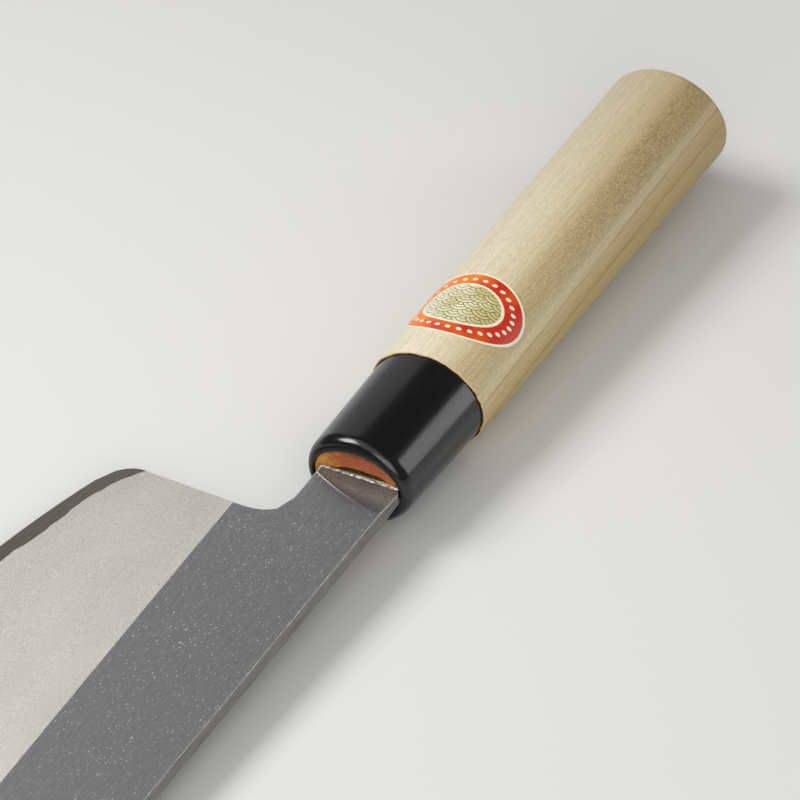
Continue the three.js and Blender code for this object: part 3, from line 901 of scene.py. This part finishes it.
seal = {
    "recess": 1.3,
    "depth": 2.4,
    "tangGap": 0.3,
    "slitRise": 1.3,  # the gap above the tang is a lens
    "slitMiddle": 0.8,
    "slitWidth": 11.8,
    "slitReach": 3,  # length of its cut, in depths of the seal's back
    "slitSteps": 64,
    "meniscus": 0.5,
    "meniscusReach": 0.8,
    "ridge": 0.26,  # raised edge of the pour, and where it runs
    "ridgeAt": 0.2,
    "ridgeWidth": 0.03,
    "rings": 48,
    "smallest": 0.03,
    "lump": 0.45,
    "lumpSize": 2.6,
    "lumpReach": 0.95,  # share of the mouth
    "smoothAngle": 40,
    "tones": ((0.0, "#e8a63c"), (0.24, "#c4683c"), (0.74, "#c4683c"), (1.0, "#e28a35")),
    "toneRange": (-7.5, 10),  # along y, shifted by the blots
    "blot": (1.8, 1.3, 1.3),
    "blotShift": 8.0,
    "dark": "#8a4520",
    "speck": (0.6, 0.5, 0.5),
    "speckRange": (0.5, 0.72, 0, 0.45),
    "rimShadeOval": (1.3, 2),  # painted shade along the top where the resin meets the horn, at the ends of an oval in the mouth
    "rimShadeRange": (0.76, 0.84, 0, 0.8),
    "rimShadeWander": 0.3,
    "rough": (0.3, 0.7, 0.28, 0.5),
    "relief": 0.15,
    "glow": (1.2, 0.5, 0.2),  # how far red, green and blue light run in it
}


def amberResin(place):
    # Pine resin run into the mouth while hot: brick red, paler amber towards the ends
    material, tree, point = frameMaterial("pine_resin_poured", place)
    y = addNode(tree, "SeparateXYZ", (point,)).outputs["Y"]
    broad = addNode(tree, "VectorMath", (point, seal["blot"]), operation="DIVIDE")
    blot = addNode(tree, "TexNoise", {"Vector": broad, "Scale": 1, "Detail": 3})
    fine = addNode(tree, "VectorMath", (point, seal["speck"]), operation="DIVIDE")
    speck = addNode(tree, "TexNoise", {"Vector": fine, "Scale": 1, "Detail": 2})
    centred = addNode(tree, "Math", (blot, 0.5), operation="SUBTRACT")
    shifted = addNode(tree, "Math", (centred, seal["blotShift"], y), operation="MULTIPLY_ADD")
    along = addNode(tree, "MapRange", (shifted, *seal["toneRange"]))
    body = addNode(tree, "ValToRGB", (along,), stops=seal["tones"])
    shade = addNode(tree, "MapRange", (speck, *seal["speckRange"]))
    # painted shade along the rim, where the resin meets the horn
    across, up = seal["rimShadeOval"]
    size = (0, across / handle["mouthWidth"], up / handle["mouthThickness"])
    oval = addNode(tree, "VectorMath", (point, size), operation="MULTIPLY")
    radius = addNode(tree, "VectorMath", (oval,), operation="LENGTH").outputs["Value"]
    unevenly = addNode(tree, "Math", (centred, seal["rimShadeWander"], radius), operation="MULTIPLY_ADD")
    rim = addNode(tree, "MapRange", (unevenly, *seal["rimShadeRange"]))
    specksAndRimShade = addNode(tree, "Math", (shade, rim), operation="MAXIMUM")
    colour = addNode(tree, "Mix", (specksAndRimShade, body, hexColour(seal["dark"])), data_type="RGBA")
    rough = addNode(tree, "MapRange", (speck, *seal["rough"]))
    bump = addNode(tree, "Bump", {"Height": speck, "Strength": 0.5, "Distance": seal["relief"] * mm})
    shader = addNode(tree, "BsdfPrincipled", {"Base Color": colour, "Roughness": rough, "IOR": 1.53,
                                              "Normal": bump, "Subsurface Weight": 0.1,
                                              "Subsurface Radius": [reach * mm for reach in seal["glow"]]})
    addNode(tree, "OutputMaterial", {"Surface": shader})
    return material


def makeSeal(place):
    width = handle["mouthWidth"] / 2 - handle["fitGap"]
    thickness = handle["mouthThickness"] / 2 - handle["fitGap"]
    front = handle["rim"] - seal["recess"]
    back = front - seal["depth"]
    rings = [(back, width, thickness)]
    for i in range(seal["rings"] + 1):
        reach = lerp(0, 1 - seal["smallest"], i / seal["rings"])
        climb = seal["meniscus"] * math.exp(-reach * thickness / seal["meniscusReach"])
        climb += seal["ridge"] * math.exp(-((reach - seal["ridgeAt"]) / seal["ridgeWidth"]) ** 2)
        rings.append((front + climb, width * (1 - reach), thickness * (1 - reach)))
    piece = drawOval("mouth_resin", rings)
    lumps = bpy.data.textures.new("resin_lumps", "CLOUDS")
    lumps.noise_scale = seal["lumpSize"] * mm
    face = piece.vertex_groups.new(name="face")
    for v in piece.data.vertices:
        onFront = v.co.x > (back + seal["depth"] / 2) * mm
        if onFront and math.hypot(v.co.y / width, v.co.z / thickness) < seal["lumpReach"] * mm:
            face.add([v.index], 1.0, "REPLACE")
    applyModifier(piece, "DISPLACE", texture=lumps, texture_coords="LOCAL", direction="X", mid_level=0.5,
                  strength=seal["lump"] * mm, vertex_group="face")
    cutForTang(piece, seal["tangGap"])
    tangTop = blade["tang"][0][2] / 2 * mm
    lens = newPiece("slit_cutter", bpy.ops.mesh.primitive_cylinder_add, vertices=seal["slitSteps"],
                    radius=1, depth=1, rotation=(0, math.pi / 2, 0))
    bpy.ops.object.transform_apply(rotation=True)
    bpy.ops.object.mode_set(mode="EDIT")
    bpy.ops.mesh.select_all(action="SELECT")
    size = (-seal["slitReach"] * back * mm, seal["slitWidth"] / 2 * mm, seal["slitRise"] * mm)
    bpy.ops.transform.resize(value=size, center_override=(0, 0, 0))
    bpy.ops.transform.translate(value=(back * mm, seal["slitMiddle"] * mm, tangTop))
    bpy.ops.object.mode_set(mode="OBJECT")
    cutAway(piece, lens)
    finishPiece(piece, "mouth_seal", [amberResin(place)], place, seal["smoothAngle"])


# Label: an oval paper sticker wrapped round the grip

label = {
    "length": 20.6,
    "wrap": 29.2,  # round the grip
    "fromMouth": 48.7,
    "turn": -5.0,  # degrees round the handle from the top
    "gap": 0.06,
    "thickness": 0.12,
    "spokes": 120,
    "rings": 20,
    "wrapSteps": 200,  # of half a turn
    "smoothAngle": 40,
    "margin": 0.955,  # shares of the oval's radius
    "ring": 0.62,
    "hairline": 0.025,
    "dots": 30,
    "dotRadius": 0.52,
    "wave": 2.6,
    "waveLines": 3,
    "lineShare": 0.17,
    "tintSize": 6,
    "foilReflectionSweep": 0.5,  # painted reflection of the foil, deeper inks round the handle
    "tintRange": (0.3, 0.75),
    "fibre": 0.35,  # drawn coarser than real paper fibre, so that it shows
    "fibreDepth": 0.01,
    "rough": (0.3, 0.7, 0.44, 0.32),
    "cream": "#f1ead0",
    "paleGold": "#ece6c4",
    "deepGold": "#c9bc7c",
    "red": "#c92d17",
    "orange": "#ee7f22",
    "ink": "#2f2a24",
}


def wrapAngle(around, width):  # angle round the oval for a length of arc from its top
    steps = label["wrapSteps"]
    length, angle = 0.0, 0.0
    while length < abs(around):
        angle += math.pi / steps
        stretch = math.hypot(math.cos(angle), handle["flatness"] * math.sin(angle))
        length += width / 2 * stretch * math.pi / steps
    return math.copysign(angle - (length - abs(around)) / (width / 2), around)


def printedPaper():
    # Coated paper printed in red and gold: a red ring with dots round a field of overlapping waves
    material, tree = newMaterial("coated_paper_printed")
    size = (label["length"], label["wrap"], 0)
    coords = addNode(tree, "TexCoord").outputs["UV"]
    centred = addNode(tree, "VectorMath", (coords, (0.5, 0.5, 0)), operation="SUBTRACT")
    flat = addNode(tree, "VectorMath", (centred, size), operation="MULTIPLY")
    unit = addNode(tree, "VectorMath", (centred, (2, 2, 0)), operation="MULTIPLY")
    radius = addNode(tree, "VectorMath", (unit,), operation="LENGTH").outputs["Value"]
    unitParts = addNode(tree, "SeparateXYZ", (unit,))
    parts = addNode(tree, "SeparateXYZ", (flat,))

    wave = label["wave"]
    level = addNode(tree, "Math", (parts.outputs["X"], wave / 2), operation="DIVIDE")
    base = addNode(tree, "Math", (level,), operation="FLOOR")
    covered, ink = None, None
    for back in (2, 1, 0):  # the wave in front hides those behind it
        row = addNode(tree, "Math", (base, 1 - back), operation="ADD")
        odd = addNode(tree, "Math", (row, 2), operation="MODULO")
        side = addNode(tree, "Math", (odd, wave, parts.outputs["Y"]), operation="MULTIPLY_ADD")
        local = addNode(tree, "Math", (side, wave), operation="PINGPONG")
        rise = addNode(tree, "Math", (row, -wave / 2, parts.outputs["X"]), operation="MULTIPLY_ADD")
        spot = addNode(tree, "CombineXYZ", {"X": local, "Y": rise})
        far = addNode(tree, "VectorMath", (spot,), operation="LENGTH").outputs["Value"]
        inside = addNode(tree, "Math", (far, wave), operation="LESS_THAN")
        turns = addNode(tree, "Math", (far, label["waveLines"] / wave), operation="MULTIPLY")
        part = addNode(tree, "Math", (turns,), operation="FRACT")
        lines = addNode(tree, "Math", (part, 1 - label["lineShare"]), operation="GREATER_THAN")
        if ink is None:
            ink = addNode(tree, "Math", (lines, inside), operation="MULTIPLY")
            covered = inside
        else:
            free = addNode(tree, "Math", (1.0, covered), operation="SUBTRACT")
            fresh = addNode(tree, "Math", (inside, free), operation="MULTIPLY")
            ink = addNode(tree, "Math", (fresh, lines, ink), operation="MULTIPLY_ADD")
            covered = addNode(tree, "Math", (covered, inside), operation="MAXIMUM")
    # gold and red shift round the handle as a painted reflection of the foil, with a random tone on top
    tint = addNode(tree, "TexNoise", {"Vector": flat, "Scale": 1 / label["tintSize"], "Detail": 1})
    sheenAround = addNode(tree, "Math", (unitParts.outputs["Y"], label["foilReflectionSweep"], tint),
                    operation="MULTIPLY_ADD")
    foilSheen = addNode(tree, "MapRange", (sheenAround, *label["tintRange"]))
    gold = addNode(tree, "Mix", (foilSheen, hexColour(label["paleGold"]), hexColour(label["deepGold"])),
                   data_type="RGBA")
    field = addNode(tree, "Mix", (ink, gold, hexColour(label["ink"])), data_type="RGBA")

    turn = addNode(tree, "Math", (unitParts.outputs["Y"], unitParts.outputs["X"]), operation="ARCTAN2")
    count = addNode(tree, "Math", (turn, label["dots"] / math.tau), operation="MULTIPLY")
    share = addNode(tree, "Math", (count,), operation="FRACT")
    meanRadius = (label["length"] + label["wrap"]) / 4
    middle = (label["margin"] + label["ring"]) / 2
    pitch = math.tau * meanRadius * middle / label["dots"]
    fromDot = addNode(tree, "Math", (share, 0.5), operation="SUBTRACT")
    dotX = addNode(tree, "Math", (fromDot, pitch), operation="MULTIPLY")
    fromMiddle = addNode(tree, "Math", (radius, middle), operation="SUBTRACT")
    dotY = addNode(tree, "Math", (fromMiddle, meanRadius), operation="MULTIPLY")
    dotSpot = addNode(tree, "CombineXYZ", {"X": dotX, "Y": dotY})
    dotFar = addNode(tree, "VectorMath", (dotSpot,), operation="LENGTH").outputs["Value"]
    dot = addNode(tree, "Math", (dotFar, label["dotRadius"]), operation="LESS_THAN")
    red = addNode(tree, "Mix", (foilSheen, hexColour(label["orange"]), hexColour(label["red"])),
                  data_type="RGBA")
    ring = addNode(tree, "Mix", (dot, red, hexColour(label["cream"])), data_type="RGBA")

    inRing = addNode(tree, "Math", (radius, label["ring"]), operation="GREATER_THAN")
    art = addNode(tree, "Mix", (inRing, field, ring), data_type="RGBA")
    seam = addNode(tree, "Math", (radius, label["ring"], label["hairline"]), operation="COMPARE")
    lined = addNode(tree, "Mix", (seam, art, hexColour(label["cream"])), data_type="RGBA")
    outside = addNode(tree, "Math", (radius, label["margin"]), operation="GREATER_THAN")
    colour = addNode(tree, "Mix", (outside, lined, hexColour(label["cream"])), data_type="RGBA")
    fibre = addNode(tree, "TexNoise", {"Vector": flat, "Scale": 1 / label["fibre"], "Detail": 2})
    rough = addNode(tree, "MapRange", (fibre, *label["rough"]))
    bump = addNode(tree, "Bump", {"Height": fibre, "Strength": 0.2, "Distance": label["fibreDepth"] * mm})
    shader = addNode(tree, "BsdfPrincipled", {"Base Color": colour, "Roughness": rough, "Normal": bump})
    addNode(tree, "OutputMaterial", {"Surface": shader})
    return material


def makeLabel(place):
    piece = newPiece("handle_sticker", bpy.ops.mesh.primitive_circle_add,
                     vertices=label["spokes"], radius=1, fill_type="NGON")
    bpy.ops.object.mode_set(mode="EDIT")
    bpy.ops.mesh.select_all(action="SELECT")
    for _ in range(label["rings"] - 1):
        bpy.ops.mesh.inset(thickness=1 / label["rings"])
    bpy.ops.mesh.poke()
    bpy.ops.object.mode_set(mode="OBJECT")
    mesh = piece.data
    flat = [v.co.xy.copy() for v in mesh.vertices]
    uv = mesh.uv_layers.new(name="print")
    for loop, corner in zip(mesh.loops, uv.data):
        corner.uv = flat[loop.vertex_index] / 2 + Vector((0.5, 0.5))
    frontRadius, buttRadius = grip["frontWidth"] / 2, grip["buttWidth"] / 2
    barrel = handle["length"] - handle["collarLength"]
    for v, (u, w) in zip(mesh.vertices, flat):
        x = u * label["length"] / 2 - label["fromMouth"]
        radius = lerp(frontRadius, buttRadius, (-handle["collarLength"] - x) / barrel)
        angle = wrapAngle(w * label["wrap"] / 2, 2 * radius) + math.radians(label["turn"])
        skin = radius + label["gap"]
        v.co = Vector((x, skin * math.sin(angle), skin * math.cos(angle) * handle["flatness"])) * mm
    closeMesh(piece)
    applyModifier(piece, "SOLIDIFY", thickness=label["thickness"] * mm, offset=1)
    finishPiece(piece, "handle_label", [printedPaper()], place, label["smoothAngle"])


# Studio: its lengths are metres

studio = {
    "floor": "#dddcd9",
    "floorSize": 6.0,
    "backdrop": "#e1e0dd",
    "fadeFrom": 0.17,  # from the origin: between these the floor turns into the backdrop
    "fadeTo": 0.45,
    "world": "#bebebe",
    "worldStrength": 0.2,
    "softboxes": (  # name, azimuth, elevation, distance, width, height, spread, watts
        ("keySoftbox", 15, 50, 0.8, 0.35, 0.35, 80, 0.95),
        ("fillCard", 312, 22, 0.6, 0.3, 0.5, 180, 0.21),
        ("sideSoftbox", 224, 17, 0.9, 0.3, 0.48, 180, 1.2),
        ("frontSoftbox", 125, 36, 1.0, 0.8, 0.7, 180, 5.0),
        ("overheadSoftbox", 65, 70, 1.0, 1.2, 0.7, 180, 2.3),
    ),
}
camera = {  # in millimetres again
    "azimuth": 119.752,
    "elevation": 38.788,
    "distance": 1200,
    "right": 9.470,  # how far the picture's middle lies from the mouth of the collar
    "up": 17.327,
    "lens": 268.0,
    "sensor": 36.0,
}


def towards(azimuth, elevation):
    a, e = math.radians(azimuth), math.radians(elevation)
    return Vector((math.sin(a) * math.cos(e), -math.cos(a) * math.cos(e), math.sin(e)))


def addCamera(target):
    back = towards(camera["azimuth"], camera["elevation"])
    right = Vector((0, 0, 1)).cross(back).normalized()
    up = back.cross(right)
    place = target + (right * camera["right"] + up * camera["up"] + back * camera["distance"]) * mm
    turn = Matrix((right, up, back)).transposed()
    bpy.ops.object.camera_add()
    lookAt = bpy.context.object
    lookAt.name = "photo_camera"
    lookAt.matrix_world = Matrix.Translation(place) @ turn.to_4x4()
    lookAt.data.lens = camera["lens"]
    lookAt.data.sensor_width = camera["sensor"]
    bpy.context.scene.camera = lookAt


def paintedFloor():
    # Matt emulsion paint: pale and even, takes the shadow, and far from the knife is the backdrop
    material, tree = newMaterial("floor_matt_paint")
    paint = addNode(tree, "BsdfPrincipled", {"Base Color": hexColour(studio["floor"]), "Roughness": 0.85})
    coords = addNode(tree, "TexCoord").outputs["Object"]
    away = addNode(tree, "VectorMath", (coords,), operation="LENGTH").outputs["Value"]
    far = addNode(tree, "MapRange", (away, studio["fadeFrom"], studio["fadeTo"]),
                  interpolation_type="SMOOTHSTEP")
    rays = addNode(tree, "LightPath").outputs
    direct = addNode(tree, "Math", (rays["Is Camera Ray"], rays["Is Glossy Ray"]), operation="MAXIMUM")
    seen = addNode(tree, "Math", (direct, rays["Is Transmission Ray"]), operation="MAXIMUM")
    share = addNode(tree, "Math", (far, seen), operation="MULTIPLY")
    backdrop = addNode(tree, "Emission", {"Color": hexColour(studio["backdrop"])})
    surface = addNode(tree, "MixShader", (share, paint, backdrop))
    addNode(tree, "OutputMaterial", {"Surface": surface})
    return material


def addStudio(target):
    bpy.ops.mesh.primitive_plane_add(size=studio["floorSize"])
    floor = bpy.context.object
    floor.name = "floor"
    floor.data.materials.append(paintedFloor())
    for name, azimuth, elevation, distance, width, height, spread, watts in studio["softboxes"]:
        away = towards(azimuth, elevation)
        bpy.ops.object.light_add(type="AREA", location=target + away * distance)
        lamp = bpy.context.object
        lamp.name = name
        lamp.rotation_euler = away.to_track_quat("Z", "Y").to_euler()
        lamp.data.shape = "RECTANGLE"
        lamp.data.size = width
        lamp.data.size_y = height
        lamp.data.spread = math.radians(spread)
        lamp.data.energy = watts
    world = bpy.data.worlds.new("studio_world")
    world.use_nodes = True
    background = world.node_tree.nodes["Background"]
    background.inputs["Color"].default_value = hexColour(studio["world"])
    background.inputs["Strength"].default_value = studio["worldStrength"]
    bpy.context.scene.world = world
    bpy.context.scene.view_settings.view_transform = "Standard"
    print("studio ready")


knife = knifePlace()
addCamera(knife.translation)
makeBlade(knife)
makeGrip(knife)
makeCollar(knife)
makeSeal(knife)
makeLabel(knife)
addStudio(knife.translation)
